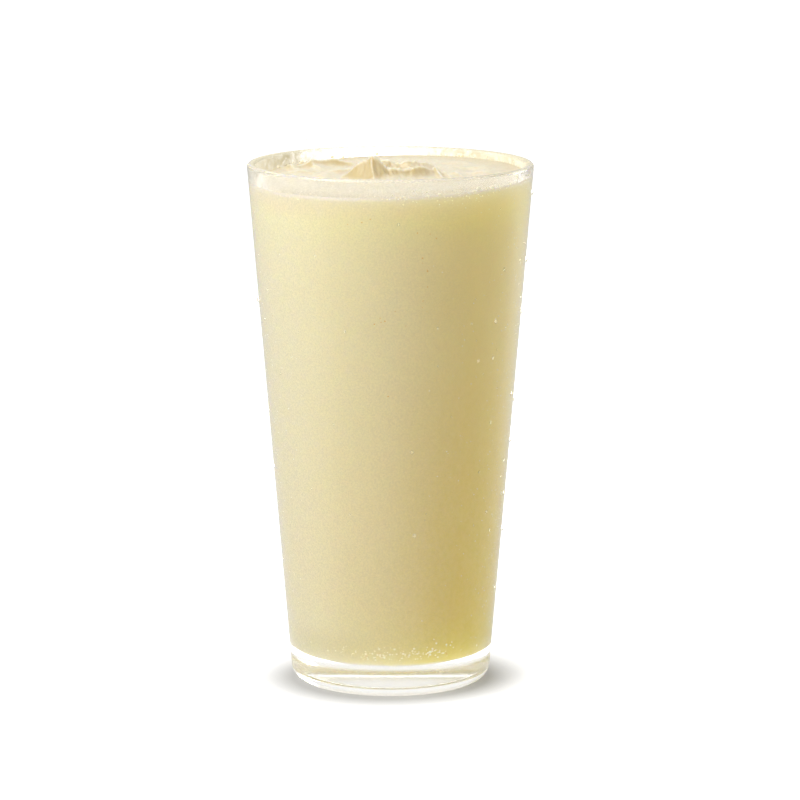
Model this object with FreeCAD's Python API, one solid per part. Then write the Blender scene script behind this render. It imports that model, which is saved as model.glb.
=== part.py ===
"""A frosted lemonade in the tall conical glass that it is served in.

Two solids, in millimetres, +Z up, with the origin at the centre of the ring that the glass stands on:

  glass      a heavy mixing glass: a straight cone with a rounded lip, a soft heel, a thick floor and a
             shallow dished underside inside its standing ring
  lemonade   the thick whipped drink. It fills the cavity face to face with the glass, a little higher
             at the back than at the front, and its top lies in folds around one tall pointed peak

-Y is the side that the drink is served from, and the steep side of each fold faces it.
"""
import FreeCAD
import Part
import math
import os

# The glass
RIM_DIAMETER = 89.0
GLASS_HEIGHT = 163.0
FOOT_DIAMETER = 61.7
LIP_THICKNESS = 2.6
LIP_ROUNDING = 1.15
HEEL_RADIUS = 4.8
FLOOR_THICKNESS = 8.8
FLOOR_WALL_THICKNESS = 3.6
CAVITY_CORNER_RADIUS = 13.0
DISH_DEPTH = 0.7
STANDING_RING_WIDTH = 3.2

# The drink
FILL_GAP = 4.2              # from the lip down to the line where the drink meets the wall, on average
FILL_TILT = 1.7             # how much higher that line is on its high side
FILL_TILT_TURN = 50.0       # degrees from +X to the high side
MOUND_HEIGHT = 0.6          # how much higher the middle stands than the wall line
SWIRL_DEPTH = 0.35          # half the height of the stirred ripples
SWIRL_PITCH = 9.5           # from ripple to ripple, outwards
SWIRL_TURNS = 2.0
SWIRL_START = 40.0          # degrees
SURFACE_STEP = 1.3          # spacing of the points that the top is drawn through
SURFACE_MARGIN = 6.0        # how far the top is drawn past the cavity, before it is trimmed

# Each large fold: (x, height) of the corners of its crest line, y of both ends of that line, how far
# its middle bows towards -Y, reach of its steep front (-Y) and reach of its soft back. The first one
# has the peak, whose tip stands above the lip
CRESTS = (
    (
        ((-15.5, 0.0), (-10.5, 3.7), (-5.7, 7.6), (-2.4, 5.2), (-1.2, 3.9), (4.2, 3.2), (7.6, 4.1),
         (10.7, 3.8), (13.4, 2.2), (17.5, 0.0)),
        -7.0, 4.5, 4.2, 15.0,
    ),
    (
        ((-12.0, 0.0), (-5.0, 3.4), (-0.8, 4.6), (1.4, 3.5), (6.4, 4.5), (9.2, 3.7), (12.3, 2.6),
         (15.4, 1.3), (20.0, 0.0)),
        3.5, 3.5, 7.5, 15.0,
    ),
)

# Each smaller fold: (x, y) of the two ends of its crest line, height, bow towards -Y, reach of its
# steep side (-Y) and reach of its soft side
FOLDS = (
    ((-6.0, -10.8), (-4.6, -16.8), 1.3, 0.0, 2.8, 2.8),
    ((12.0, -2.0), (16.8, -14.0), 1.5, 0.6, 1.3, 2.2),
    ((15.2, -1.0), (20.0, -12.5), 1.2, 0.8, 1.2, 2.2),
    ((18.6, 0.5), (24.0, -9.0), 0.9, 0.8, 1.2, 2.4),
    ((-33.0, 15.0), (-8.0, 20.0), 2.2, -3.0, 2.4, 9.0),
    ((-33.0, 25.0), (-26.0, 6.0), 1.3, 1.2, 1.8, 4.0),
    ((-27.0, 29.0), (-20.0, 11.0), 1.1, 1.5, 1.8, 4.0),
    ((-38.0, 4.0), (-22.0, 5.5), 1.1, -1.2, 1.8, 5.0),
    ((-21.0, 4.0), (-9.0, 11.0), 1.2, 1.6, 2.0, 5.0),
    ((-30.0, -7.0), (-18.0, -4.0), 0.9, 1.0, 2.0, 4.5),
    ((20.0, 3.0), (35.0, -3.0), 0.8, 1.2, 1.6, 5.0),
    ((16.0, 16.0), (36.0, 8.0), 0.8, 1.8, 2.2, 6.5),
    ((8.0, 28.0), (27.0, 21.0), 0.7, 2.0, 2.2, 6.0),
    ((-28.0, -20.0), (-9.0, -23.0), 0.5, -1.5, 2.6, 5.0),
)

RIM_RADIUS = RIM_DIAMETER / 2
FOOT_RADIUS = FOOT_DIAMETER / 2
MOUTH_RADIUS = RIM_RADIUS - LIP_THICKNESS


def outer_radius(z):
    """Radius of the outside of the wall at height z."""
    return FOOT_RADIUS + (RIM_RADIUS - FOOT_RADIUS) * z / GLASS_HEIGHT


def cavity_radius(z):
    """Radius of the inside of the wall at height z. The wall thickens towards the floor."""
    floor_radius = outer_radius(FLOOR_THICKNESS) - FLOOR_WALL_THICKNESS
    share = (z - FLOOR_THICKNESS) / (GLASS_HEIGHT - FLOOR_THICKNESS)
    return floor_radius + (MOUTH_RADIUS - floor_radius) * share


def ring_edges(solid, z, radius):
    """The circular edges of a solid that lie at this height and have this radius."""
    return [
        edge
        for edge in solid.Edges
        if not edge.Degenerated
        and isinstance(edge.Curve, Part.Circle)
        and abs(edge.Curve.Center.z - z) < 0.01
        and abs(edge.Curve.Radius - radius) < 0.01
    ]


def cavity_plug(top):
    """The shape of the glass's inside, up to the height top: a cone with a rounded bottom corner."""
    cone = Part.makeCone(
        cavity_radius(FLOOR_THICKNESS),
        cavity_radius(top),
        top - FLOOR_THICKNESS,
        FreeCAD.Vector(0, 0, FLOOR_THICKNESS),
    )
    corner = ring_edges(cone, FLOOR_THICKNESS, cavity_radius(FLOOR_THICKNESS))
    return cone.makeFillet(CAVITY_CORNER_RADIUS, corner)


def dish():
    """The ball whose cap hollows the underside, inside the standing ring."""
    radius = FOOT_RADIUS - HEEL_RADIUS - STANDING_RING_WIDTH
    ball_radius = (radius ** 2 + DISH_DEPTH ** 2) / (2 * DISH_DEPTH)
    return Part.makeSphere(ball_radius, FreeCAD.Vector(0, 0, DISH_DEPTH - ball_radius))


def make_glass():
    """The mixing glass, with its lip and heel rounded."""
    blank = Part.makeCone(FOOT_RADIUS, RIM_RADIUS, GLASS_HEIGHT)
    blank = blank.makeFillet(HEEL_RADIUS, ring_edges(blank, 0, FOOT_RADIUS))
    blank = blank.cut(dish())
    glass = blank.cut(cavity_plug(GLASS_HEIGHT + SURFACE_MARGIN))
    lip = ring_edges(glass, GLASS_HEIGHT, RIM_RADIUS) + ring_edges(glass, GLASS_HEIGHT, MOUTH_RADIUS)
    return glass.makeFillet(LIP_ROUNDING, lip)


def ramp(distance, reach):
    """A slope that starts at 1 at a sharp crest and runs out softly at its reach."""
    return max(1.0 - distance / reach, 0.0) ** 1.6


def crest_height(x, line):
    """Height of a large fold's crest line at x, straight from corner to corner."""
    for (x0, low), (x1, high) in zip(line, line[1:]):
        if x0 <= x <= x1:
            return low + (high - low) * (x - x0) / (x1 - x0)
    return 0.0


def large_fold_height(x, y, crest):
    """Height that one large fold adds at (x, y): a steep front and a long soft back."""
    line, ends_y, sag, front, back = crest
    share = (x - line[0][0]) / (line[-1][0] - line[0][0])
    crest_y = ends_y - sag * math.sin(math.pi * min(max(share, 0.0), 1.0))
    reach = front if y < crest_y else back
    return crest_height(x, line) * ramp(abs(y - crest_y), reach)


def fold_height(x, y, fold):
    """Height that one smaller fold adds at (x, y). It fades towards both ends of its crest line."""
    (x0, y0), (x1, y1), height, bow, front, back = fold
    length = math.hypot(x1 - x0, y1 - y0)
    along = ((x - x0) * (x1 - x0) + (y - y0) * (y1 - y0)) / length ** 2
    if not 0.0 < along < 1.0:
        return 0.0
    swell = math.sin(math.pi * along)
    across = ((y - y0) * (x1 - x0) - (x - x0) * (y1 - y0)) / length + bow * swell
    return height * swell * ramp(abs(across), front if across < 0 else back)


def wall_line(turn):
    """Height of the line where the drink meets the wall, in one direction from the axis."""
    return GLASS_HEIGHT - FILL_GAP + FILL_TILT * math.cos(turn - math.radians(FILL_TILT_TURN))


def top_height(x, y):
    """Height of the drink's top above the table."""
    radius = math.hypot(x, y)
    turn = math.atan2(y, x)
    out = radius / cavity_radius(GLASS_HEIGHT - FILL_GAP)
    middle = GLASS_HEIGHT - FILL_GAP + MOUND_HEIGHT
    ground = middle + (wall_line(turn) - middle) * out ** 2
    phase = 2 * math.pi * radius / SWIRL_PITCH - SWIRL_TURNS * turn + math.radians(SWIRL_START)
    swirl = SWIRL_DEPTH * math.sin(math.pi * min(out, 1.0)) * math.sin(phase)
    large = max(large_fold_height(x, y, crest) for crest in CRESTS)
    return ground + swirl + large + sum(fold_height(x, y, fold) for fold in FOLDS)


def make_lemonade():
    """The drink: the inside of the glass, up to one smooth surface drawn through the top's heights."""
    half = cavity_radius(GLASS_HEIGHT - FILL_GAP) + SURFACE_MARGIN
    steps = round(2 * half / SURFACE_STEP)
    places = [-half + 2 * half * i / steps for i in range(steps + 1)]
    top = Part.BSplineSurface()
    top.interpolate([[FreeCAD.Vector(x, y, top_height(x, y)) for y in places] for x in places])
    below = top.toShape().extrude(FreeCAD.Vector(0, 0, -GLASS_HEIGHT))
    return cavity_plug(GLASS_HEIGHT + SURFACE_MARGIN).common(below)


def main():
    """Writes one STEP file for each solid."""
    os.makedirs("parts", exist_ok=True)
    for name, shape in (("glass", make_glass()), ("lemonade", make_lemonade())):
        solid = shape.Solids[0]
        assert len(shape.Solids) == 1 and solid.isValid(), name
        solid.exportStep(f"parts/{name}.step")
        print(f"{name}: {solid.Volume / 1000:.1f} cm3, {len(solid.Faces)} faces, box {solid.BoundBox}")


main()
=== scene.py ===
"""Looks of a frosted lemonade in its tall conical glass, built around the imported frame.

Every length below is in millimetres until it reaches Blender, which works in metres.
"""
from __future__ import annotations

import logging
import math
from dataclasses import dataclass, field
from enum import IntEnum

import bpy
import numpy as np
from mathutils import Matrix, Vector, noise

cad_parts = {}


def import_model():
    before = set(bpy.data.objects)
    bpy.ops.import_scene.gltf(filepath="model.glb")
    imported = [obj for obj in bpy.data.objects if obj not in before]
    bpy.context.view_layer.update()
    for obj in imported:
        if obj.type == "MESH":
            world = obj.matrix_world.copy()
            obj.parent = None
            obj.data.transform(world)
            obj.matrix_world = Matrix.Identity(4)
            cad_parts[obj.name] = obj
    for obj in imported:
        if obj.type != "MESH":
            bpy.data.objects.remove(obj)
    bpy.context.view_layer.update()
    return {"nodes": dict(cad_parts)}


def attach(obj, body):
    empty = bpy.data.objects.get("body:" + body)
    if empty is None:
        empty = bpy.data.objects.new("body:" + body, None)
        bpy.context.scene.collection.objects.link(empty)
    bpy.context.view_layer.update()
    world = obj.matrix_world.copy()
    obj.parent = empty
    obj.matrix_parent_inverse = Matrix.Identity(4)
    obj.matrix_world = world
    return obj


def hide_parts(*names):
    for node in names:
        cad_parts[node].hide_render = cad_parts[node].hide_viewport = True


MM = 0.001
WHITE = (1.0, 1.0, 1.0, 1.0)
LOG = logging.getLogger("frosted_lemonade")
# points nearer than this are one point, in millimetres
MERGE_WITHIN = 0.002
Outline = list[tuple[float, float]]
Colour = tuple[float, float, float]
Piece = bpy.types.Object
Tree = bpy.types.NodeTree
Node = bpy.types.Node
Socket = bpy.types.NodeSocket


# ---------------------------------------------------------------- sizes


@dataclass(frozen=True)
class GlassSizes:
    """Sizes of the mixing glass, in millimetres."""

    rim_radius: float = 44.5
    height: float = 163.0
    foot_radius: float = 30.85
    lip_thickness: float = 2.6
    lip_rounding: float = 1.15
    heel_radius: float = 4.8
    floor: float = 8.8
    floor_wall: float = 3.6
    cavity_corner: float = 13.0
    dish_depth: float = 0.7
    ring_width: float = 3.2

    def outer_radius(self, z: float | np.ndarray) -> float | np.ndarray:
        """Radius of the outside of the wall at height z."""
        return self.foot_radius + (self.rim_radius - self.foot_radius) * z / self.height

    def cavity_radius(self, z: float | np.ndarray) -> float | np.ndarray:
        """Works out the radius of the inside of the wall.

        Args:
            z: the height, one or many.

        Returns:
            The radius at each height.
        """
        low = self.outer_radius(self.floor) - self.floor_wall
        share = (z - self.floor) / (self.height - self.floor)
        return low + (self.rim_radius - self.lip_thickness - low) * share


@dataclass(frozen=True)
class Fold:
    """One fold of the drink's top: the two ends of its crest line and how it falls away."""

    start: tuple[float, float]
    end: tuple[float, float]
    height: float
    bow: float
    front: float
    back: float


@dataclass(frozen=True)
class Crest:
    """One large fold: its crest line's corners as x and height, and how it falls away."""

    line: tuple[tuple[float, float], ...]
    ends_y: float
    sag: float
    front: float
    back: float


@dataclass(frozen=True)
class TopSizes:
    """Sizes of the drink's top, in millimetres and degrees."""

    fill_gap: float = 4.2
    fill_tilt: float = 1.7
    fill_tilt_turn: float = 50.0
    mound: float = 0.6
    swirl_depth: float = 0.35
    swirl_pitch: float = 9.5
    swirl_turns: float = 2.0
    swirl_start: float = 40.0
    crests: tuple[Crest, ...] = (
        Crest(
            ((-15.5, 0.0), (-10.5, 3.7), (-5.7, 7.6), (-2.4, 5.2), (-1.2, 3.9), (4.2, 3.2), (7.6, 4.1),
             (10.7, 3.8), (13.4, 2.2), (17.5, 0.0)),
            ends_y=-7.0, sag=4.5, front=4.2, back=15.0,
        ),
        Crest(
            ((-12.0, 0.0), (-5.0, 3.4), (-0.8, 4.6), (1.4, 3.5), (6.4, 4.5), (9.2, 3.7), (12.3, 2.6),
             (15.4, 1.3), (20.0, 0.0)),
            ends_y=3.5, sag=3.5, front=7.5, back=15.0,
        ),
    )
    folds: tuple[Fold, ...] = (
        Fold((-6.0, -10.8), (-4.6, -16.8), 1.3, 0.0, 2.8, 2.8),
        Fold((12.0, -2.0), (16.8, -14.0), 1.5, 0.6, 1.3, 2.2),
        Fold((15.2, -1.0), (20.0, -12.5), 1.2, 0.8, 1.2, 2.2),
        Fold((18.6, 0.5), (24.0, -9.0), 0.9, 0.8, 1.2, 2.4),
        Fold((-33.0, 15.0), (-8.0, 20.0), 2.2, -3.0, 2.4, 9.0),
        Fold((-33.0, 25.0), (-26.0, 6.0), 1.3, 1.2, 1.8, 4.0),
        Fold((-27.0, 29.0), (-20.0, 11.0), 1.1, 1.5, 1.8, 4.0),
        Fold((-38.0, 4.0), (-22.0, 5.5), 1.1, -1.2, 1.8, 5.0),
        Fold((-21.0, 4.0), (-9.0, 11.0), 1.2, 1.6, 2.0, 5.0),
        Fold((-30.0, -7.0), (-18.0, -4.0), 0.9, 1.0, 2.0, 4.5),
        Fold((20.0, 3.0), (35.0, -3.0), 0.8, 1.2, 1.6, 5.0),
        Fold((16.0, 16.0), (36.0, 8.0), 0.8, 1.8, 2.2, 6.5),
        Fold((8.0, 28.0), (27.0, 21.0), 0.7, 2.0, 2.2, 6.0),
        Fold((-28.0, -20.0), (-9.0, -23.0), 0.5, -1.5, 2.6, 5.0),
    )
    lump_depth: float = 0.22
    lump_size: float = 2.3
    pit_depth: float = 0.13
    pit_size: float = 0.8
    whipped: float = 1.6


# ---------------------------------------------------------------- modelling helpers


def deselect_everything() -> None:
    """Leaves object mode with nothing selected."""
    if bpy.context.mode != "OBJECT":
        bpy.ops.object.mode_set(mode="OBJECT")
    bpy.ops.object.select_all(action="DESELECT")


def rounded(corners: list[tuple[float, float, float]], steps: int = 8) -> Outline:
    """Rounds the corners of an open outline.

    Args:
        corners: radius, height and rounding of each corner.
        steps: chords in each rounding.

    Returns:
        The outline's points, with an arc in place of each rounded corner.
    """
    points: Outline = [corners[0][:2]]
    for (ax, az, _), (bx, bz, rounding), (cx, cz, _) in zip(corners, corners[1:], corners[2:]):
        before = Vector((ax - bx, az - bz)).normalized()
        after = Vector((cx - bx, cz - bz)).normalized()
        half = before.angle(after) / 2
        corner = Vector((bx, bz))
        if rounding <= 0:
            points.append((bx, bz))
            continue
        middle = corner + (before + after).normalized() * rounding / math.sin(half)
        first = corner + before * rounding / math.tan(half) - middle
        last = corner + after * rounding / math.tan(half) - middle
        sweep = first.angle_signed(last)
        for i in range(steps + 1):
            turn = -sweep * i / steps
            x = first.x * math.cos(turn) - first.y * math.sin(turn)
            z = first.x * math.sin(turn) + first.y * math.cos(turn)
            points.append((middle.x + x, middle.y + z))
    points.append(corners[-1][:2])
    return points


def divided(points: Outline, longest: float) -> Outline:
    """Cuts the straight runs of an outline into shorter ones.

    Args:
        points: the outline.
        longest: the longest run that may stay whole.

    Returns:
        The same outline with more points.
    """
    made = [points[0]]
    for (ax, az), (bx, bz) in zip(points, points[1:]):
        pieces = max(1, math.ceil(math.hypot(bx - ax, bz - az) / longest))
        for i in range(1, pieces + 1):
            made.append((ax + (bx - ax) * i / pieces, az + (bz - az) * i / pieces))
    return made


def turn_faces_out(piece: Piece) -> None:
    """Points the piece's faces outwards and smooths its shading.

    Args:
        piece: the piece, which may still be in edit mode.
    """
    deselect_everything()
    piece.select_set(True)
    bpy.context.view_layer.objects.active = piece
    bpy.ops.object.mode_set(mode="EDIT")
    bpy.ops.mesh.select_all(action="SELECT")
    bpy.ops.mesh.normals_make_consistent(inside=False)
    bpy.ops.object.mode_set(mode="OBJECT")
    bpy.ops.object.shade_smooth()


def turned(name: str, outline: Outline, segments: int) -> Piece:
    """Turns an outline round the axis, as on a lathe.

    Args:
        name: name of the new object.
        outline: radius and height of each point, in millimetres.
        segments: number of steps of the turn.

    Returns:
        A closed mesh object with merged points and outward faces.
    """
    deselect_everything()
    bpy.ops.mesh.primitive_plane_add(size=MM, location=(0, 0, 0))
    piece = bpy.context.object
    piece.name = piece.data.name = name
    bpy.ops.object.mode_set(mode="EDIT")
    bpy.ops.mesh.select_mode(type="VERT")
    bpy.ops.mesh.select_all(action="SELECT")
    bpy.ops.mesh.merge(type="CENTER")
    bpy.ops.transform.translate(value=(outline[0][0] * MM, 0, outline[0][1] * MM))
    for (ax, az), (bx, bz) in zip(outline, outline[1:]):
        step = ((bx - ax) * MM, 0, (bz - az) * MM)
        bpy.ops.mesh.extrude_region_move(TRANSFORM_OT_translate={"value": step})
    bpy.ops.mesh.select_all(action="SELECT")
    bpy.ops.mesh.spin(steps=segments, angle=math.tau, center=(0, 0, 0), axis=(0, 0, 1))
    bpy.ops.mesh.select_all(action="SELECT")
    bpy.ops.mesh.remove_doubles(threshold=MERGE_WITHIN * MM)
    turn_faces_out(piece)
    return piece


def points_of(piece: Piece) -> np.ndarray:
    """Reads the mesh's points.

    Args:
        piece: the piece whose mesh is read.

    Returns:
        The places in millimetres, one row each.
    """
    flat = np.empty(len(piece.data.vertices) * 3, np.float32)
    piece.data.vertices.foreach_get("co", flat)
    return flat.reshape(-1, 3).astype(float) / MM


def place_points(piece: Piece, points: np.ndarray) -> None:
    """Puts the mesh's points at these places, in millimetres."""
    piece.data.vertices.foreach_set("co", (points * MM).astype(np.float32).ravel())
    piece.data.update()


# ---------------------------------------------------------------- finishes


def new_material(name: str) -> tuple[bpy.types.Material, Tree, Node]:
    """Starts a material.

    Args:
        name: name of the finish.

    Returns:
        The material, its node tree and its Principled shader.
    """
    material = bpy.data.materials.new(name)
    material.use_nodes = True
    tree = material.node_tree
    return material, tree, tree.nodes["Principled BSDF"]


def node(tree: Tree, kind: str, **settings: object) -> Node:
    """Adds a node.

    Args:
        tree: the node tree to build in.
        kind: the shader node's type, without its prefix.
        **settings: properties of the node.

    Returns:
        The new node.
    """
    made = tree.nodes.new("ShaderNode" + kind)
    for name, value in settings.items():
        setattr(made, name, value)
    return made


def feed(tree: Tree, socket: Socket, value: Socket | float | tuple[float, ...]) -> None:
    """Gives a socket its value.

    Args:
        tree: the node tree to build in.
        socket: the socket that takes the value.
        value: a fixed value, or the socket that it comes from.
    """
    if isinstance(value, Socket):
        tree.links.new(value, socket)
    else:
        socket.default_value = value


def fill(tree: Tree, made: Node, values: dict[str, Socket | float | tuple[float, ...]]) -> None:
    """Gives a node's inputs their values.

    Args:
        tree: the node tree to build in.
        made: the node.
        values: each input's name, with a fixed value or the socket that it comes from.
    """
    for name, value in values.items():
        feed(tree, made.inputs[name], value)


def layered(tree: Tree, share: Socket, below: Node | Socket, above: Node) -> Socket:
    """Lays one shader over another.

    Args:
        tree: the node tree to build in.
        share: how much of the upper shader shows.
        below: the lower shader.
        above: the upper shader.

    Returns:
        The output of the two together.
    """
    mix = node(tree, "MixShader")
    under = below if isinstance(below, Socket) else below.outputs[0]
    for output, socket in zip((share, under, above.outputs[0]), mix.inputs):
        tree.links.new(output, socket)
    return mix.outputs[0]


def show(tree: Tree, shader: Socket) -> None:
    """Sends a shader to the output of its material or world."""
    output = next(n for n in tree.nodes if n.name in ("Material Output", "World Output"))
    tree.links.new(shader, output.inputs["Surface"])


def attribute(tree: Tree, name: str) -> Socket:
    """The value of a painted attribute."""
    return node(tree, "Attribute", attribute_name=name).outputs["Fac"]


def blended(tree: Tree, share: Socket, low: Colour | Socket, high: Colour | Socket) -> Socket:
    """A colour between two others.

    Args:
        tree: the node tree to build in.
        share: how much of the second colour there is.
        low: the first colour, as three numbers or a socket.
        high: the second colour, as three numbers or a socket.

    Returns:
        The blended colour.
    """
    mix = node(tree, "Mix", data_type="RGBA")
    tree.links.new(share, mix.inputs["Factor"])
    for name, colour in (("A", low), ("B", high)):
        socket = next(s for s in mix.inputs if s.type == "RGBA" and s.name == name)
        feed(tree, socket, colour if isinstance(colour, Socket) else (*colour, 1))
    return next(s for s in mix.outputs if s.type == "RGBA")


def reckoned(tree: Tree, operation: str, first: Socket | float, second: Socket | float) -> Socket:
    """Works two values into one.

    Args:
        tree: the node tree to build in.
        operation: what the Math node does with them.
        first: the first value, as a number or a socket.
        second: the second value, as a number or a socket.

    Returns:
        The result.
    """
    made = node(tree, "Math", operation=operation)
    feed(tree, made.inputs[0], first)
    feed(tree, made.inputs[1], second)
    return made.outputs[0]


def ranged(
    tree: Tree,
    value: Socket,
    start: tuple[float, float],
    end: tuple[float | Socket, float | Socket],
    **settings: object,
) -> Socket:
    """Moves a value from one range to another, and holds it within that.

    Args:
        tree: the node tree to build in.
        value: the value to move.
        start: the ends of the range that it comes from.
        end: the ends of the range that it goes to.
        **settings: properties of the Map Range node.

    Returns:
        The moved value.
    """
    made = node(tree, "MapRange", **settings)
    tree.links.new(value, made.inputs["Value"])
    for name, number in zip(("From Min", "From Max", "To Min", "To Max"), (*start, *end)):
        feed(tree, made.inputs[name], number)
    return made.outputs["Result"]


@dataclass(frozen=True)
class Grain:
    """Fine irregular grain that the mist, the film and the drink share, as one node group."""

    size: float
    low: float
    high: float
    group_name = "fine grain"
    detail = 1.5
    # the part of the noise's range that the mask spreads out
    noise_range = (0.32, 0.68)

    @classmethod
    def group(cls) -> Tree:
        """Finds the node group, or builds it the first time that it is asked for.

        Returns:
            The group, with a mask and a height.
        """
        if cls.group_name in bpy.data.node_groups:
            return bpy.data.node_groups[cls.group_name]
        tree = bpy.data.node_groups.new(cls.group_name, "ShaderNodeTree")
        for name, value in (("Size", 1.0), ("Low", 0.0), ("High", 1.0)):
            made = tree.interface.new_socket(name, in_out="INPUT", socket_type="NodeSocketFloat")
            made.default_value = value
        for name in ("Mask", "Height"):
            tree.interface.new_socket(name, in_out="OUTPUT", socket_type="NodeSocketFloat")
        given = tree.nodes.new("NodeGroupInput")
        put_out = tree.nodes.new("NodeGroupOutput")
        pitch = reckoned(tree, "DIVIDE", 1 / MM, given.outputs["Size"])
        cloud = node(tree, "TexNoise")
        place = node(tree, "TexCoord").outputs["Object"]
        fill(tree, cloud, {"Detail": cls.detail, "Vector": place, "Scale": pitch})
        ends = (given.outputs["Low"], given.outputs["High"])
        mask = ranged(tree, cloud.outputs["Fac"], cls.noise_range, ends)
        tree.links.new(mask, put_out.inputs["Mask"])
        tree.links.new(cloud.outputs["Fac"], put_out.inputs["Height"])
        return tree

    def place(self, tree: Tree) -> Node:
        """Places the group in a material.

        Args:
            tree: the material's node tree.

        Returns:
            The group's node, with this grain's values.
        """
        placed = node(tree, "Group", node_tree=self.group())
        fill(tree, placed, {"Size": self.size, "Low": self.low, "High": self.high})
        return placed

    def bump(self, tree: Tree, shader: Node, strength: float, depth: float) -> None:
        """Roughens a shader's surface with this grain.

        Args:
            tree: the material's node tree.
            shader: the shader whose surface is roughened.
            strength: how much of the relief shows, up to 1.
            depth: depth of the relief, in millimetres.
        """
        raised = node(tree, "Bump")
        height = self.place(tree).outputs["Height"]
        fill(tree, raised, {"Strength": strength, "Distance": depth * MM, "Height": height})
        tree.links.new(raised.outputs["Normal"], shader.inputs["Normal"])


@dataclass(frozen=True)
class ClearGlass:
    """Clear soda glass or water, which lets the light of the lamps through to the drink."""

    name: str = "clear glass"
    tint: Colour = (0.99, 0.985, 0.965)
    roughness: float = 0.03
    index: float = 1.5
    # share of the light on its way to something behind that goes on through each surface
    passes: float = 0.98

    def build(self) -> bpy.types.Material:
        """Makes the material.

        Returns:
            Glass that soft light and the light of the lamps pass without being bent.
        """
        material, tree, glass = new_material(self.name)
        fill(tree, glass, {
            "Base Color": (*self.tint, 1),
            "Roughness": self.roughness,
            "IOR": self.index,
            "Transmission Weight": 1.0,
        })
        path = node(tree, "LightPath").outputs
        clear = node(tree, "BsdfTransparent")
        fill(tree, clear, {"Color": (*[self.passes] * 3, 1)})
        soft = layered(tree, path["Is Diffuse Ray"], glass, clear)
        show(tree, layered(tree, path["Is Shadow Ray"], soft, clear))
        return material


@dataclass(frozen=True)
class Cover:
    """How thickly something lies on each side of the glass, as a share of the surface."""

    name: str
    # degrees round the glass from the front towards the right, and the cover there
    sides: tuple[tuple[float, float], ...]

    def around(self, points: np.ndarray) -> np.ndarray:
        """Finds the cover at each point, by its side of the glass.

        Args:
            points: places in millimetres, one row each.

        Returns:
            The cover at each of them.
        """
        turn = np.degrees(np.arctan2(points[:, 0], -points[:, 1]))
        turn = np.where(turn < -90, turn + 360, turn)
        return np.interp(turn, *zip(*self.sides))

    def paint(self, piece: Piece, cover: np.ndarray) -> None:
        """Writes the cover to the piece's points, as an attribute that the finish reads."""
        made = piece.data.attributes.new(self.name, "FLOAT", "POINT")
        made.data.foreach_set("value", cover.astype(np.float32))


MIST = Cover("mist", (
    (-90, 0.20), (-50, 0.19), (-25, 0.16), (0, 0.13), (25, 0.08), (40, 0.03), (55, 0.06),
    (68, 0.12), (85, 0.19), (120, 0.20), (160, 0.18), (175, 0.10), (212, 0.10), (225, 0.16),
    (245, 0.20), (270, 0.20),
))
# painted veil of light on the drink: pale where the key lamp lights its side, none on the shaded right
# front
PAINTED_VEIL = Cover("painted_veil", (
    (-90, 0.48), (-50, 0.46), (-25, 0.36), (0, 0.27), (15, 0.16), (25, 0.07), (40, 0.0),
    (55, 0.0), (68, 0.06), (85, 0.18), (120, 0.24), (200, 0.32), (270, 0.48),
))
FILM = Cover("film", (
    (-90, 0.70), (-60, 0.15), (0, 0.06), (60, 0.08), (90, 0.70), (115, 0.90), (150, 0.90), (180, 0.55),
    (205, 0.55), (232, 0.92), (252, 0.90), (270, 0.70),
))


@dataclass(frozen=True)
class CoatedGlass:
    """Glass under a thin broken coat, such as mist outside or a film of the drink inside."""

    name: str
    cover: Cover
    colour: Colour
    glass_roughness: float
    grain: Grain
    relief: float
    relief_strength: float = 0.6
    coat_roughness: float = 0.6
    # share of the light on its way to something behind that goes on through the coat
    passes: float = 0.85

    def build(self) -> bpy.types.Material:
        """Makes the material.

        Returns:
            Glass with a coat that scatters light, which hides what is behind but shades it little.
        """
        material = ClearGlass(self.name, roughness=self.glass_roughness).build()
        tree = material.node_tree
        below = tree.nodes["Material Output"].inputs["Surface"].links[0].from_socket
        coat = node(tree, "BsdfPrincipled")
        fill(tree, coat, {"Base Color": (*self.colour, 1), "Roughness": self.coat_roughness})
        self.grain.bump(tree, coat, self.relief_strength, self.relief)
        mask = self.grain.place(tree).outputs["Mask"]
        share = reckoned(tree, "MULTIPLY", attribute(tree, self.cover.name), mask)
        path = node(tree, "LightPath").outputs
        lighting = reckoned(tree, "MAXIMUM", path["Is Shadow Ray"], path["Is Diffuse Ray"])
        stops = ranged(tree, lighting, (0.0, 1.0), (1.0, 1.0 - self.passes))
        show(tree, layered(tree, reckoned(tree, "MULTIPLY", share, stops), below, coat))
        return material


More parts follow.
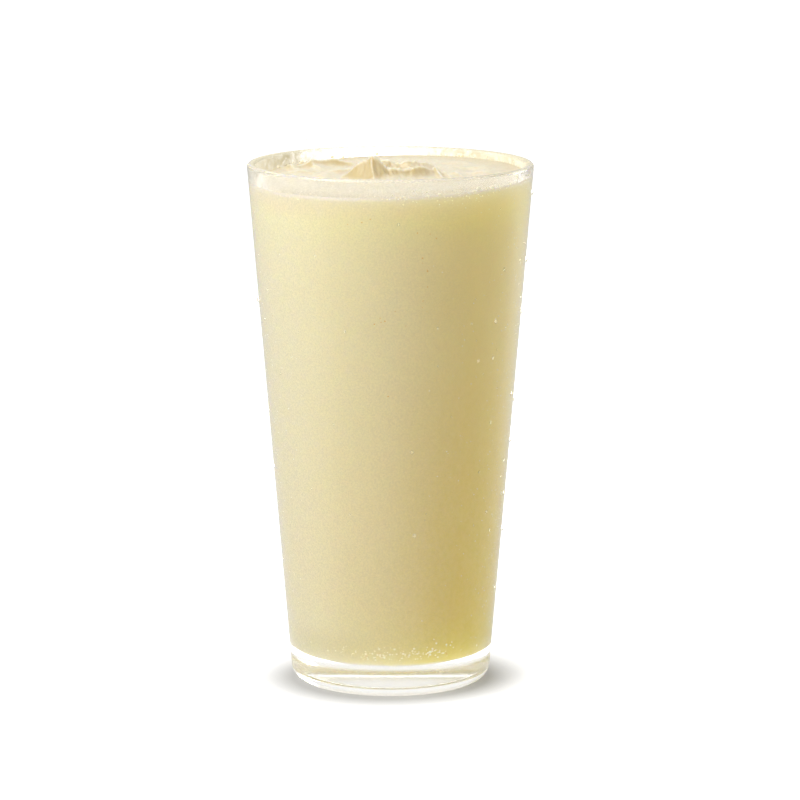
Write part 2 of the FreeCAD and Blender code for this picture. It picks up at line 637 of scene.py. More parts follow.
@dataclass(frozen=True)
class DrinkBody:
    """The thick drink behind the glass: pale yellow, with light soaking deep into it."""

    upper: Colour = (0.96, 0.785, 0.285)
    lower: Colour = (0.84, 0.685, 0.095)
    # colour of the painted veil: the pale whitening that the lamp light leaves on the lit side
    pale: Colour = (0.97, 0.91, 0.86)
    # colour of the froth head near the top: a paler froth colour, darkened as painted shade against the
    # light that brightens the top edge
    head: Colour = (0.79, 0.655, 0.52)
    scatter: Colour = (1.0, 0.85, 0.25)
    depth: float = 30.0
    roughness: float = 0.55
    mottle: Grain = Grain(1.4, 0.0, 1.0)
    mottle_share: float = 0.25
    # how much lighter the mottles are
    lighter: float = 1.03

    def build(self, height: float) -> bpy.types.Material:
        """Makes the material. It deepens downwards, and two attributes change its colour: a painted veil
        of light and the head, which is partly painted shade.

        Args:
            height: height in millimetres from which it deepens.

        Returns:
            The material, which reads the attributes painted_veil and head.
        """
        material, tree, body = new_material("frosted lemonade")
        place = node(tree, "SeparateXYZ")
        tree.links.new(node(tree, "TexCoord").outputs["Object"], place.inputs[0])
        ends = ((height * MM, 0.0), (0.0, 1.0))
        fall = ranged(tree, place.outputs["Z"], *ends, interpolation_type="SMOOTHSTEP")
        colour = blended(tree, fall, self.upper, self.lower)
        lighter = tuple(min(1.0, c * self.lighter) for c in self.upper)
        mottle = reckoned(tree, "MULTIPLY", self.mottle.place(tree).outputs["Mask"], self.mottle_share)
        colour = blended(tree, mottle, colour, lighter)
        # painted veil: the pale whitening of the lit side
        colour = blended(tree, attribute(tree, PAINTED_VEIL.name), colour, self.pale)
        # head: paler froth near the top, darkened as painted shade
        colour = blended(tree, attribute(tree, "head"), colour, self.head)
        fill(tree, body, {
            "Base Color": colour,
            "Roughness": self.roughness,
            "Subsurface Weight": 1.0,
            "Subsurface Radius": self.scatter,
            "Subsurface Scale": self.depth * MM,
        })
        return material


@dataclass(frozen=True)
class Froth:
    """The drink's open top: cream where flat, with painted shade in deeper yellow on its slopes, hollows
    and edge, and a pale painted highlight on its crests.
    """

    flat: Colour = (0.935, 0.85, 0.66)
    # painted shade, a deeper yellow; the speckles take this colour too
    painted_shade: Colour = (0.62, 0.48, 0.20)
    # painted highlight on the crests
    crest: Colour = (1.0, 0.955, 0.84)
    scatter: Colour = (1.0, 0.85, 0.5)
    depth: float = 2.0
    speckle: Grain = Grain(0.9, 0.0, 1.0)
    breaks: Grain = Grain(1.6, 0.2, 1.3)
    speckle_share: float = 0.16
    relief: float = 0.12
    relief_strength: float = 0.7
    roughness: float = 0.42
    soaking: float = 0.7

    def build(self) -> bpy.types.Material:
        """Makes the material.

        Returns:
            The material, which reads the attributes painted_shade and crest: painted shade and painted
            highlight.
        """
        material, tree, froth = new_material("froth")
        speckle = self.speckle.place(tree).outputs["Mask"]
        spotted = reckoned(tree, "MULTIPLY", speckle, self.speckle_share)
        # painted shade on slopes, hollows and edge, then speckles in the same colour
        colour = blended(tree, attribute(tree, "painted_shade"), self.flat, self.painted_shade)
        colour = blended(tree, spotted, colour, self.painted_shade)
        # painted highlight on the crests, broken up
        breaks = self.breaks.place(tree).outputs["Mask"]
        broken = reckoned(tree, "MULTIPLY", attribute(tree, "crest"), breaks)
        colour = blended(tree, broken, colour, self.crest)
        fill(tree, froth, {
            "Base Color": colour,
            "Roughness": self.roughness,
            "Subsurface Weight": self.soaking,
            "Subsurface Radius": self.scatter,
            "Subsurface Scale": self.depth * MM,
        })
        self.speckle.bump(tree, froth, self.relief_strength, self.relief)
        return material


@dataclass(frozen=True)
class Paste:
    """A plain soft finish for bubbles, beads and specks."""

    name: str
    colour: Colour
    roughness: float
    # painted glow: emission that stands in for the light soaking out of the drink behind
    glow: float = 0.0
    grain: Grain = Grain(0.5, 0.85, 1.0)
    # how dark the darker parts are
    shade: float = 0.85

    def build(self) -> bpy.types.Material:
        """Makes the material.

        Returns:
            A plain material with a little grain in its colour, and a painted glow where one is given.
        """
        material, tree, paste = new_material(self.name)
        shade = tuple(c * self.shade for c in self.colour)
        share = self.grain.place(tree).outputs["Mask"]
        fill(tree, paste, {
            "Base Color": blended(tree, share, shade, self.colour),
            "Roughness": self.roughness,
            "Emission Color": (*self.colour, 1),
            "Emission Strength": self.glow,
        })
        return material


# ---------------------------------------------------------------- the glass


class Side(IntEnum):
    """The material slots of the glass."""

    CLEAR = 0
    MISTED = 1
    FILMED = 2
    MOULDED = 3


@dataclass
class MixingGlass:
    """The conical mixing glass with its rounded lip, soft heel and dished underside."""

    sizes: GlassSizes = field(default_factory=GlassSizes)
    segments: int = 192
    wall_step: float = 3.0
    lip_band: float = 1.0
    lip_cover: float = 0.55
    foot_band: float = 15.0
    foot_cover: float = 1.0
    # how late the mist begins above the foot, and how narrow the misted sides of the foot are
    foot_power: int = 3
    moulded_up_to: float = 2.0
    dish_steps: int = 8
    mist: CoatedGlass = CoatedGlass(
        "misted glass", MIST, (0.97, 0.91, 0.78), 0.10, Grain(0.55, 0.7, 1.2), 0.05
    )
    film: CoatedGlass = CoatedGlass(
        "filmed glass", FILM, (0.87, 0.805, 0.59), 0.20, Grain(1.6, 0.93, 1.15), 0.05
    )
    moulded: ClearGlass = ClearGlass("moulded glass", roughness=0.33)

    def outline(self) -> Outline:
        """Draws the half section.

        Returns:
            Its points, from the middle of the underside round the lip to the middle of the floor.
        """
        s = self.sizes
        dish_radius = s.foot_radius - s.heel_radius - s.ring_width
        ball = (dish_radius**2 + s.dish_depth**2) / (2 * s.dish_depth)
        across = [dish_radius * i / self.dish_steps for i in range(self.dish_steps)]
        dish = [(r, math.sqrt(ball**2 - r**2) - ball + s.dish_depth) for r in across]
        corners = [
            (*dish[-1], 0.0),
            (dish_radius, 0.0, 0.0),
            (s.foot_radius, 0.0, s.heel_radius),
            (s.rim_radius, s.height, s.lip_rounding),
            (s.rim_radius - s.lip_thickness, s.height, s.lip_rounding),
            (s.cavity_radius(s.floor), s.floor, s.cavity_corner),
            (0.0, s.floor, 0.0),
        ]
        return divided(dish[:-1] + rounded(corners), self.wall_step)

    def side_of(self, centre: Vector, lowest_film: float) -> Side:
        """Chooses the finish of a face.

        Args:
            centre: the middle of the face, in millimetres.
            lowest_film: height from which the drink's film covers the inside.

        Returns:
            The material slot.
        """
        s = self.sizes
        across = math.hypot(centre.x, centre.y)
        middle = (s.outer_radius(centre.z) + s.cavity_radius(max(centre.z, s.floor))) / 2
        if centre.z < self.moulded_up_to:
            return Side.MOULDED
        if across > middle:
            return Side.MISTED
        return Side.FILMED if centre.z > lowest_film else Side.CLEAR

    def build(self, lowest_film: float) -> Piece:
        """Turns the glass and dresses it: mist outside, and a film of the drink inside, near the lip.

        Args:
            lowest_film: height from which the drink's film covers the inside.

        Returns:
            The finished glass.
        """
        s = self.sizes
        glass = turned("mixing_glass", self.outline(), self.segments)
        for finish in (ClearGlass(), self.mist, self.film, self.moulded):
            glass.data.materials.append(finish.build())
        for face in glass.data.polygons:
            face.material_index = self.side_of(face.center / MM, lowest_film)
        points = points_of(glass)
        near_lip = np.clip(1 - (s.height - points[:, 2]) / self.lip_band, 0, 1)
        above_foot = np.clip(points[:, 2] / self.foot_band, 0, 1) ** self.foot_power
        sideways = np.abs(points[:, 0]) / np.maximum(np.hypot(points[:, 0], points[:, 1]), MERGE_WITHIN)
        foot = self.foot_cover * sideways**self.foot_power
        misted = foot + (1 - foot) * above_foot
        for cover, share in ((MIST, misted), (FILM, 1.0)):
            covered = cover.around(points) * share
            cover.paint(glass, covered + (1 - covered) * self.lip_cover * near_lip)
        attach(glass, "root")
        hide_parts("glass")
        return glass


# ---------------------------------------------------------------- the drink


class Layer(IntEnum):
    """The material slots of the drink."""

    BODY = 0
    TOP = 1
    BOTTOM = 2


@dataclass
class Lemonade:
    """The drink, from the floor of the glass up to its folded top."""

    glass: GlassSizes = field(default_factory=GlassSizes)
    top: TopSizes = field(default_factory=TopSizes)
    segments: int = 400
    ring_step: float = 0.34
    wall_step: float = 1.5
    corner_steps: int = 12
    # how far the drink reaches into the glass, so that no air gap shows
    reach: float = 0.15
    # how far a point may lie off the blank's top or rim and still belong to it
    tolerance: float = 0.01
    # how far below the lip the wall line's tilt has run out
    easing_depth: float = 40.0
    crest_power: float = 1.6
    lump_layer: float = 0.5
    pit_layer: float = 7.5
    lumps_fade: float = 12.0
    whipped_height: float = 3.0
    head_depth: float = 8.5
    head_power: float = 1.3
    # painted shade and painted highlight of the top: shade on slopes, in hollows and by the wall, kept
    # on slopes that face left and mostly taken off slopes that face right; highlight on the crests
    slope_step: float = 0.6
    slope_from: float = 0.5
    slope_to: float = 1.2
    steep_share: float = 0.94
    lean_left: float = 0.12
    lean_right: float = 0.7
    edge_share: float = 0.35
    edge_band: float = 9.0
    bend_full: float = 0.5
    hollow_share: float = 0.5
    # how the painted veil of light grows lower down and how full it is at the floor of the glass
    painted_veil_growth: float = 0.12
    floor_painted_veil: float = 0.95
    floor_band: float = 1.2
    # the drink's bottom, painted pale as painted light, so that the lens under the drink looks lit
    painted_light_bottom: Paste = Paste("painted light bottom", (0.98, 0.94, 0.84), 0.6)

    @property
    def level(self) -> float:
        """Mean height of the line where the drink meets the wall."""
        return self.glass.height - self.top.fill_gap

    def wall_line(self, turn: float | np.ndarray) -> float | np.ndarray:
        """Height of the line where the drink meets the wall, in each direction from the axis."""
        return self.level + self.top.fill_tilt * np.cos(turn - math.radians(self.top.fill_tilt_turn))

    def ramp(self, distance: np.ndarray, reach: float | np.ndarray) -> np.ndarray:
        """A slope that starts at 1 at a sharp crest and runs out softly at its reach."""
        return np.clip(1.0 - distance / reach, 0.0, 1.0) ** self.crest_power

    def large_fold(self, x: np.ndarray, y: np.ndarray, crest: Crest) -> np.ndarray:
        """Works out one large fold.

        Args:
            x: places across the glass.
            y: places from front to back.
            crest: the fold's sizes.

        Returns:
            The height that the fold adds at each place.
        """
        xs, heights = zip(*crest.line)
        share = np.clip((x - xs[0]) / (xs[-1] - xs[0]), 0, 1)
        crest_y = crest.ends_y - crest.sag * np.sin(math.pi * share)
        reach = np.where(y < crest_y, crest.front, crest.back)
        return np.interp(x, xs, heights, 0.0, 0.0) * self.ramp(np.abs(y - crest_y), reach)

    def small_fold(self, x: np.ndarray, y: np.ndarray, fold: Fold) -> np.ndarray:
        """Works out one smaller fold.

        Args:
            x: places across the glass.
            y: places from front to back.
            fold: the fold's sizes.

        Returns:
            The height that the fold adds at each place.
        """
        (x0, y0), (x1, y1) = fold.start, fold.end
        length = math.hypot(x1 - x0, y1 - y0)
        along = np.clip(((x - x0) * (x1 - x0) + (y - y0) * (y1 - y0)) / length**2, 0, 1)
        swell = np.sin(math.pi * along)
        across = ((y - y0) * (x1 - x0) - (x - x0) * (y1 - y0)) / length + fold.bow * swell
        reach = np.where(across < 0, fold.front, fold.back)
        return fold.height * swell * self.ramp(np.abs(across), reach)

    def top_height(self, x: np.ndarray, y: np.ndarray) -> np.ndarray:
        """Works out the drink's top, with its mound, its ripple and its folds.

        Args:
            x: places across the glass.
            y: places from front to back.

        Returns:
            The height of the top at each place.
        """
        t = self.top
        radius = np.hypot(x, y)
        turn = np.arctan2(y, x)
        out = radius / self.glass.cavity_radius(self.level)
        middle = self.level + t.mound
        ground = middle + (self.wall_line(turn) - middle) * out**2
        phase = math.tau * radius / t.swirl_pitch - t.swirl_turns * turn + math.radians(t.swirl_start)
        swirl = t.swirl_depth * np.sin(math.pi * np.minimum(out, 1.0)) * np.sin(phase)
        large = np.maximum.reduce([self.large_fold(x, y, crest) for crest in t.crests])
        return ground + swirl + large + sum(self.small_fold(x, y, f) for f in t.folds)

    def lumps(self, x: np.ndarray, y: np.ndarray) -> np.ndarray:
        """Works out the froth's small lumps and pits, which fade out at the wall.

        Args:
            x: places across the glass.
            y: places from front to back.

        Returns:
            What they add to the height at each place.
        """
        t = self.top
        places = zip(x.tolist(), y.tolist())
        rough = np.array([
            t.lump_depth * noise.noise(Vector((a / t.lump_size, b / t.lump_size, self.lump_layer)))
            + t.pit_depth * noise.noise(Vector((a / t.pit_size, b / t.pit_size, self.pit_layer)))
            for a, b in places
        ])
        out = np.hypot(x, y) / self.glass.cavity_radius(self.level)
        whipped = np.maximum.reduce([self.large_fold(x, y, crest) for crest in t.crests])
        more = 1 + t.whipped * np.clip(whipped / self.whipped_height, 0, 1)
        return rough * np.clip((1 - out) * self.lumps_fade, 0, 1) * more

    def outline(self) -> Outline:
        """Draws the half section with a flat top.

        Returns:
            Its points, from the middle of the bottom up the wall and in to the axis.
        """
        g = self.glass
        corners = [
            (0.0, g.floor - self.reach, 0.0),
            (g.cavity_radius(g.floor) + self.reach, g.floor - self.reach, g.cavity_corner),
            (g.cavity_radius(self.level) + self.reach, self.level, 0.0),
        ]
        side = divided(rounded(corners, self.corner_steps), self.wall_step)
        rings = round(side[-1][0] / self.ring_step)
        return side + [(side[-1][0] * (1 - i / rings), self.level) for i in range(1, rings + 1)]

    def is_top(self, points: np.ndarray) -> np.ndarray:
        """Which of the blank's points belong to its flat top."""
        return points[:, 2] > self.level - self.tolerance

    def lift(self, points: np.ndarray) -> np.ndarray:
        """Moves the turned blank's points to the drink's true form.

        Args:
            points: the blank's points, one row each.

        Returns:
            Their new places.
        """
        g = self.glass
        x, y, z = points.T
        on_top = self.is_top(points)
        rim = on_top & (np.hypot(x, y) > g.cavity_radius(self.level) + self.reach - self.tolerance)
        easing = g.height - self.easing_depth
        wall = self.wall_line(np.arctan2(y, x))
        lifted = easing + (z - easing) * (wall - easing) / (self.level - easing)
        side = ~on_top & (z > easing)
        new_z = np.where(side, lifted, np.where(on_top, self.top_height(x, y) + self.lumps(x, y), z))
        new_z = np.where(rim, wall, new_z)
        follow = (g.cavity_radius(new_z) + self.reach) / np.maximum(g.cavity_radius(z) + self.reach, 1.0)
        scale = np.where(side | rim, follow, 1.0)
        return np.column_stack([x * scale, y * scale, new_z])

    def paint_top(self, drink: Piece, points: np.ndarray) -> None:
        """Writes the attributes painted_shade, crest and head: painted shade from the top's slope,
        hollows and edge, a painted highlight from its bend, and nearness to it.

        Args:
            drink: the drink, in its true form.
            points: the blank's points, one row each.
        """
        x, y, _ = points.T
        step = self.slope_step
        here = self.top_height(x, y)
        east, west = self.top_height(x + step, y), self.top_height(x - step, y)
        north, south = self.top_height(x, y + step), self.top_height(x, y - step)
        slope = np.hypot(east - west, north - south) / (2 * step)
        bend = here - (east + west + north + south) / 4
        # painted shade on slopes, kept on slopes that face left and mostly taken off slopes that face
        # right
        painted_shade = np.clip((slope - self.slope_from) / (self.slope_to - self.slope_from), 0, 1)
        to_right = (east - west) / (2 * step)
        painted_shade *= (self.steep_share - self.lean_left * np.clip(to_right, 0, 1)
                  - self.lean_right * np.clip(-to_right, 0, 1))
        # painted shade in hollows and along the wall
        hollow = self.hollow_share * np.clip(-bend / self.bend_full, 0, 1)
        from_wall = self.glass.cavity_radius(self.level) - np.hypot(x, y)
        edge = self.edge_share * np.clip(1 - from_wall / self.edge_band, 0, 1)
        painted_shade = np.maximum.reduce([painted_shade, hollow, edge])
        # painted highlight on the crests
        crest = np.clip(bend / self.bend_full, 0, 1)
        below = self.wall_line(np.arctan2(y, x)) - self.lift(points)[:, 2]
        head = np.clip(1 - below / self.head_depth, 0, 1) ** self.head_power
        for name, value in (("painted_shade", painted_shade), ("crest", crest), ("head", head)):
            made = drink.data.attributes.new(name, "FLOAT", "POINT")
            made.data.foreach_set("value", value.astype(np.float32))

    def build(self) -> Piece:
        """Turns the drink, lifts its top into folds and dresses it.

        Returns:
            The finished drink.
        """
        drink = turned("frosted_lemonade", self.outline(), self.segments)
        blank = points_of(drink)
        on_top = self.is_top(blank)
        for finish in (DrinkBody().build(self.glass.height), Froth().build(), self.painted_light_bottom.build()):
            drink.data.materials.append(finish)
        for face in drink.data.polygons:
            if face.center.z < self.glass.floor * MM:
                face.material_index = Layer.BOTTOM
            else:
                face.material_index = Layer.TOP if all(on_top[v] for v in face.vertices) else Layer.BODY
        place_points(drink, self.lift(blank))
        self.paint_top(drink, blank)
        # painted veil of light, growing lower down and nearly full at the floor of the glass
        heights = blank[:, 2]
        lower_down = 1 - np.clip(heights / self.glass.height, 0, 1)
        painted_veil = PAINTED_VEIL.around(blank) * (1 + self.painted_veil_growth * lower_down)
        on_floor = np.clip(1 - (heights - self.glass.floor) / self.floor_band, 0, 1)
        PAINTED_VEIL.paint(drink, painted_veil + (self.floor_painted_veil - painted_veil) * on_floor)
        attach(drink, "root")
        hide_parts("lemonade")
        return drink


# ---------------------------------------------------------------- small things


@dataclass(frozen=True)
class Blob:
    """One small rounded thing: where it is, its size along the wall, up the wall and out of it."""

    turn: float
    height: float
    distance: float
    wide: float
    tall: float
    deep: float


@dataclass(frozen=True)
class Form:
    """A small thing's sizes along the wall, up it, out of it and off it, as shares of its radius."""

    wide: float
    tall: float
    deep: float
    off: float

    def blob(self, turn: float, height: float, wall: float, radius: float) -> Blob:
        """Makes one thing of this form.

        Args:
            turn: its side of the glass.
            height: height of its middle.
            wall: distance of the wall from the axis there.
            radius: its radius.

        Returns:
            The thing, in its place.
        """
        place = (turn, height, wall + self.off * radius)
        return Blob(*place, self.wide * radius, self.tall * radius, self.deep * radius)


@dataclass
class Scatter:
    """Many small rounded things, made as one mesh."""

    name: str
    slot: str
    finish: Paste | ClearGlass
    cuts: int = 2

    def template(self) -> tuple[np.ndarray, np.ndarray]:
        """Makes one ball with a radius of 1.

        Returns:
            Its points and its triangles.
        """
        deselect_everything()
        bpy.ops.mesh.primitive_ico_sphere_add(subdivisions=self.cuts, radius=1.0, location=(0, 0, 0))
        ball = bpy.context.object
        points = points_of(ball) * MM
        faces = np.array([list(face.vertices) for face in ball.data.polygons])
        bpy.data.objects.remove(ball, do_unlink=True)
        return points, faces

    def build(self, blobs: list[Blob]) -> Piece:
        """Joins a copy of the ball for each blob, each at its size and place.

        Args:
            blobs: what to make.

        Returns:
            The finished piece.
        """
        ball, faces = self.template()
        sizes = np.array([(b.wide, b.deep, b.tall) for b in blobs])
        turns = np.radians([b.turn for b in blobs])
        shaped = ball[None, :, :] * sizes[:, None, :]
        across = shaped[:, :, 0]
        outwards = np.array([b.distance for b in blobs])[:, None] - shaped[:, :, 1]
        cos, sin = np.cos(turns)[:, None], np.sin(turns)[:, None]
        x = outwards * sin + across * cos
        y = -outwards * cos + across * sin
        z = np.array([b.height for b in blobs])[:, None] + shaped[:, :, 2]
        points = np.stack([x, y, z], axis=2).reshape(-1, 3) * MM
        triangles = (faces[None] + (np.arange(len(blobs)) * len(ball))[:, None, None]).reshape(-1, 3)
        mesh = bpy.data.meshes.new(self.name)
        mesh.from_pydata(points.tolist(), [], triangles.tolist())
        piece = bpy.data.objects.new(self.name, mesh)
        bpy.context.scene.collection.objects.link(piece)
        turn_faces_out(piece)
        mesh.materials.append(self.finish.build())
        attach(piece, "root")
        return piece


@dataclass(frozen=True)
class Cluster:
    """A loose cluster: its middle, its spread, how many things and their largest radius."""

    turn: float
    height: float
    turn_spread: float
    height_spread: float
    count: int
    radius: float


@dataclass
class SmallThings:
    """Everything small: bubbles, specks and condensation."""

    glass: GlassSizes
    drink: Lemonade
    wall_bubbles: tuple[Cluster, ...] = (
        Cluster(10, -0.8, 20, 0.8, 22, 0.65),
        Cluster(30, -1.0, 12, 1.1, 30, 0.9),
        Cluster(62, -0.2, 14, 0.9, 26, 0.6),
        Cluster(-50, -0.4, 25, 0.5, 16, 0.4),
        Cluster(208, 0.2, 12, 0.3, 12, 0.6),
        Cluster(152, 0.2, 10, 0.3, 14, 0.6),
        Cluster(110, 0.4, 20, 0.5, 24, 0.5),
        Cluster(250, 0.4, 20, 0.3, 14, 0.5),
    )
    specks: tuple[Cluster, ...] = (
        Cluster(-14, 149, 5, 1.2, 5, 0.36),
        Cluster(20, 145, 5, 3.0, 6, 0.36),
        Cluster(17, 137, 3, 1.6, 4, 0.5),
        Cluster(16, 127, 7, 4.0, 6, 0.38),
        Cluster(-4, 119, 8, 2.5, 5, 0.4),
        Cluster(-35, 130, 6, 1.6, 4, 0.36),
        Cluster(-1, 98, 2, 3.5, 2, 0.36),
        Cluster(190, 110, 60, 30, 14, 0.4),
        Cluster(34, 13.5, 2, 0.6, 1, 0.5),
    )
    floor_bubbles: tuple[Cluster, ...] = (
        Cluster(-6, 40, 20, 7, 70, 0.42),
        Cluster(26, 37, 12, 8, 60, 0.45),
        Cluster(180, 38, 60, 9, 60, 0.42),
    )
    drops: tuple[Cluster, ...] = (
        Cluster(60, 90, 26, 45, 36, 0.75),
        Cluster(-60, 90, 30, 45, 24, 0.6),
        Cluster(180, 90, 70, 45, 50, 0.75),
    )
    # sides and heights of the drops that show against the background
    edge_drops: tuple[tuple[float, float], ...] = (
        (90, 153.8), (88, 133.0), (91, 75.8), (89, 47.7), (-91, 120.0),
    )
    beads: tuple[Cluster, ...] = (
        Cluster(88, 85, 14, 48, 1500, 0.20),
        Cluster(55, 80, 18, 50, 260, 0.18),
        Cluster(-80, 90, 16, 45, 420, 0.18),
        Cluster(150, 90, 34, 48, 1200, 0.20),
        Cluster(235, 90, 24, 48, 600, 0.20),
        Cluster(40, 159, 30, 2.5, 220, 0.20),
    )
    bubble_form: Form = Form(1.0, 0.85, 0.45, -0.4)
    speck_form: Form = Form(1.0, 0.85, 0.5, -0.35)
    floor_form: Form = Form(1.0, 1.0, 0.6, 0.0)
    drop_form: Form = Form(0.8, 1.0, 0.5, 0.1)
    bead_form: Form = Form(1.0, 1.0, 0.7, 0.1)
    # radius of a cluster's smallest thing, as a share of its largest
    smallest: float = 0.35
    highest_rise: float = 2.2
    # slopes of the drink's rounded lower edge, in degrees, that carry bubbles
    floor_slopes: tuple[float, float] = (8.0, 60.0)
    # how far drops and beads stay above the foot and below the lip
    drop_margins: tuple[float, float] = (8.0, 5.0)
    bead_margins: tuple[float, float] = (5.0, 2.0)
    edge_drop_radius: float = 1.0

    def spread(self, clusters: tuple[Cluster, ...], seed: int) -> list[tuple[float, float, float]]:
        """Spreads the things of these clusters.

        Args:
            clusters: the clusters.
            seed: seed of the random draws.

        Returns:
            Turn, height and radius of each thing.
        """
        chance = np.random.default_rng(seed)
        places = []
        for c in clusters:
            turns = chance.normal(c.turn, c.turn_spread, c.count)
            heights = chance.normal(c.height, c.height_spread, c.count)
            radii = c.radius * (self.smallest + (1 - self.smallest) * chance.random(c.count) ** 2)
            places += list(zip(turns.tolist(), heights.tolist(), radii.tolist()))
        return places

    def build(self) -> list[Piece]:
        """Makes every piece of small things.

        Returns:
            The finished pieces.
        """
        return [
            self.make_wall_bubbles(),
            self.make_specks(),
            self.make_floor_bubbles(),
            self.make_drops(),
            self.make_beads(),
        ]

    def make_wall_bubbles(self) -> Piece:
        """Makes the pale bubbles where the drink's top meets the wall.

        Returns:
            The finished piece.
        """
        blobs = []
        for turn, rise, radius in self.spread(self.wall_bubbles, seed=3):
            line = self.drink.wall_line(math.radians(turn - 90))
            height = float(line + min(rise, self.highest_rise))
            wall = self.glass.cavity_radius(height) + self.drink.reach
            blobs.append(self.bubble_form.blob(turn, height, wall, radius))
        # painted glow on the bubbles' skins
        finish = Paste("bubble skins", (1.0, 0.92, 0.68), roughness=0.3, glow=0.22)
        return Scatter("wall_bubbles", "lemonade", finish).build(blobs)

    def make_specks(self) -> Piece:
        """Makes the small orange-yellow specks of pulp against the wall.

        Returns:
            The finished piece.
        """
        blobs = []
        for turn, height, radius in self.spread(self.specks, seed=5):
            wall = self.glass.cavity_radius(height) + self.drink.reach
            blobs.append(self.speck_form.blob(turn, height, wall, radius))
        finish = Paste("pulp", (0.86, 0.47, 0.06), roughness=0.5)
        return Scatter("pulp_specks", "lemonade", finish).build(blobs)

    def make_floor_bubbles(self) -> Piece:
        """Makes the tiny bubbles round the rounded lower edge of the drink.

        Returns:
            The finished piece.
        """
        g = self.glass
        corner = g.cavity_corner
        middle = (g.cavity_radius(g.floor + corner) - corner, g.floor + corner)
        least, most = self.floor_slopes
        blobs = []
        for turn, slope, radius in self.spread(self.floor_bubbles, seed=7):
            down = math.radians(min(max(slope, least), most))
            wall = middle[0] + (corner + self.drink.reach) * math.cos(down)
            height = middle[1] - (corner + self.drink.reach) * math.sin(down)
            blobs.append(self.floor_form.blob(turn, height, wall, radius))
        # painted glow on the small bubbles
        finish = Paste("small bubbles", (1.0, 0.92, 0.68), roughness=0.3, glow=0.25)
        return Scatter("floor_bubbles", "lemonade", finish, cuts=1).build(blobs)

    def make_drops(self) -> Piece:
        """Makes the clear drops of condensation on the outside of the wall.

        Returns:
            The finished piece.
        """
        above_foot, below_lip = self.drop_margins
        places = self.spread(self.drops, seed=11)
        places += [(turn, height, self.edge_drop_radius) for turn, height in self.edge_drops]
        blobs = []
        for turn, height, radius in places:
            height = min(max(height, above_foot), self.glass.height - below_lip)
            blobs.append(self.drop_form.blob(turn, height, self.glass.outer_radius(height), radius))
        finish = ClearGlass("water", (0.99, 0.99, 0.97), roughness=0.05, index=1.33)
        return Scatter("condensation_drops", "glass", finish).build(blobs)

    def make_beads(self) -> Piece:
        """Makes the finest beads of condensation, which look white.

        Returns:
            The finished piece.
        """
        above_foot, below_lip = self.bead_margins
        blobs = [
            self.bead_form.blob(turn, height, self.glass.outer_radius(height), radius)
            for turn, height, radius in self.spread(self.beads, seed=13)
            if above_foot < height < self.glass.height - below_lip
        ]
        finish = Paste("mist beads", (0.97, 0.95, 0.88), roughness=0.35)
        return Scatter("condensation_beads", "glass", finish, cuts=1).build(blobs)


# ---------------------------------------------------------------- the studio


@dataclass(frozen=True)
class Lamp:
    """A soft square lamp that looks at the object."""

    name: str
    place: tuple[float, float, float]
    size: float
    power: float
    colour: Colour = (1.0, 1.0, 1.0)

    def build(self, aim: Vector) -> None:
        """Puts the lamp in the scene.

        Args:
            aim: the place that the lamp is turned towards.
        """
        data = bpy.data.lights.new(self.name, "AREA")
        data.shape = "SQUARE"
        data.size = self.size
        data.energy = self.power
        data.color = self.colour
        lamp = bpy.data.objects.new(self.name, data)
        lamp.location = self.place
        lamp.rotation_euler = (aim - lamp.location).to_track_quat("-Z", "Y").to_euler()
        bpy.context.scene.collection.objects.link(lamp)


def by_ray(
    tree: Tree,
    straight: Socket | float,
    gloss: float,
    through: float,
    soft: Socket | float,
) -> Socket:
    """Makes a value that differs with the way a ray comes.

    Args:
        tree: the node tree to build in.
        straight: the value for rays straight from the camera, as a number or a socket.
        gloss: the value for rays that a gloss has turned.
        through: the value for rays that have gone through glass.
        soft: the value for rays that a soft surface has scattered, which light it.

    Returns:
        A socket that gives those values.
    """
    path = node(tree, "LightPath").outputs
    value = reckoned(tree, "MULTIPLY", path["Is Camera Ray"], straight)
    for name, level in (("Glossy", gloss), ("Transmission", through), ("Diffuse", soft)):
        scaled = reckoned(tree, "MULTIPLY", path[f"Is {name} Ray"], level)
        value = reckoned(tree, "MAXIMUM", value, scaled)
    return value


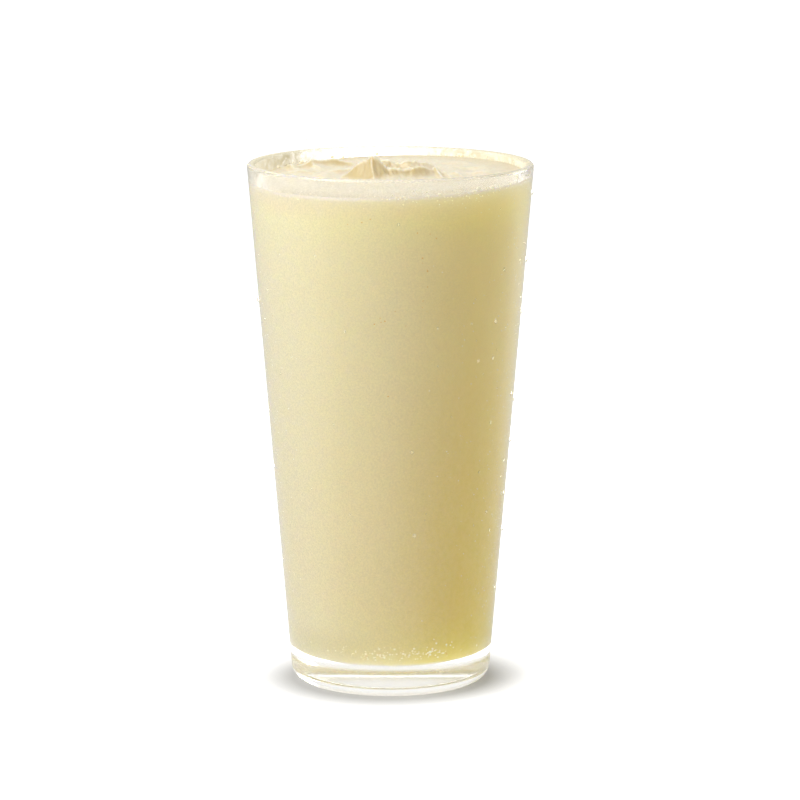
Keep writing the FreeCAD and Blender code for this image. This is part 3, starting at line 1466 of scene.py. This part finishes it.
@dataclass
class Studio:
    """The floor, the lamps, the white surroundings and the camera."""

    camera_place: tuple[float, float, float] = (0.0, -1.300, 0.3213)
    camera_tilt: float = 10.16
    camera_pan: float = 0.131
    lens: float = 190.26
    sensor: float = 36.0
    sight: float = 50.0
    surroundings: float = 0.33
    floor_size: float = 8.0
    floor_roughness: float = 0.9
    floor_albedo: float = 0.5
    # glow of the floor beside the foot and far from it, which leaves a soft shadow round the foot
    near_glow: float = 0.11
    far_glow: float = 1.0
    glow_from: float = 31.0
    glow_to: float = 48.0
    # glow of the floor seen through the glass, and its glow as it lights the object
    glow_through: float = 3.2
    glow_soft: float = 0.25
    glow_under: float = 0.8
    under_radius: float = 29.0
    gloss: float = 0.4
    seen_through: float = 0.97
    lamps: tuple[Lamp, ...] = (
        Lamp("key", (-0.37, -0.235, 0.66), 0.45, 4.05),
        Lamp("rim", (0.63, 0.50, 0.40), 0.4, 2.8),
    )
    aim: tuple[float, float, float] = (0.0, 0.0, 0.08)

    def build(self) -> None:
        """Makes the whole studio."""
        self.make_floor()
        self.make_surroundings()
        for lamp in self.lamps:
            lamp.build(Vector(self.aim))
        self.make_camera()

    def make_floor(self) -> None:
        """Makes the wide white floor, which fades into the surroundings."""
        deselect_everything()
        bpy.ops.mesh.primitive_plane_add(size=self.floor_size, location=(0, 0, 0))
        floor = bpy.context.object
        floor.name = "floor"
        material, tree, paint = new_material("white floor")
        fill(tree, paint, {
            "Base Color": (*[self.floor_albedo] * 3, 1),
            "Roughness": self.floor_roughness,
            "Specular IOR Level": 0.0,
        })
        place = node(tree, "VectorMath", operation="LENGTH")
        tree.links.new(node(tree, "TexCoord").outputs["Object"], place.inputs[0])
        distance = place.outputs["Value"]
        start, end = self.glow_from * MM, self.glow_to * MM
        away = ranged(tree, distance, (start, end), (self.near_glow, self.far_glow))
        inside = (self.under_radius * MM, start)
        under = ranged(tree, distance, inside, (self.glow_under, self.glow_soft))
        glow = node(tree, "Emission")
        seen = by_ray(tree, away, self.gloss, self.glow_through, under)
        tree.links.new(seen, glow.inputs["Strength"])
        both = node(tree, "AddShader")
        tree.links.new(paint.outputs[0], both.inputs[0])
        tree.links.new(glow.outputs[0], both.inputs[1])
        show(tree, both.outputs[0])
        floor.data.materials.append(material)

    def make_surroundings(self) -> None:
        """Makes the world, which lights evenly and which the camera and the glass see as white."""
        world = bpy.data.worlds.new("surroundings")
        bpy.context.scene.world = world
        world.use_nodes = True
        tree = world.node_tree
        light = tree.nodes["Background"]
        fill(tree, light, {"Color": WHITE, "Strength": self.surroundings})
        seen = node(tree, "Background")
        fill(tree, seen, {"Color": WHITE, "Strength": 1.0})
        share = by_ray(tree, 1.0, self.gloss, self.seen_through, 0.0)
        show(tree, layered(tree, share, light, seen))

    def make_camera(self) -> None:
        """Makes the camera, a little above the rim and looking slightly down."""
        data = bpy.data.cameras.new("camera")
        data.lens = self.lens
        data.sensor_width = self.sensor
        data.clip_end = self.sight
        camera = bpy.data.objects.new("camera", data)
        camera.location = self.camera_place
        camera.rotation_euler = (math.radians(90 - self.camera_tilt), 0, math.radians(-self.camera_pan))
        bpy.context.scene.collection.objects.link(camera)
        bpy.context.scene.camera = camera
        bpy.context.scene.view_settings.view_transform = "Standard"


def main() -> None:
    """Builds every piece around the frame, then the studio."""
    logging.basicConfig(level=logging.INFO, format="%(name)s: %(message)s")
    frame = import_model()
    LOG.info("frame nodes: %s", sorted(frame["nodes"]))
    drink = Lemonade()
    glass = MixingGlass()
    pieces = [glass.build(drink.level - drink.top.fill_tilt), drink.build()]
    pieces += SmallThings(glass.sizes, drink).build()
    for piece in pieces:
        LOG.info("%s: %d faces", piece.name, len(piece.data.polygons))
    Studio().build()


if __name__ == "__main__":
    main()
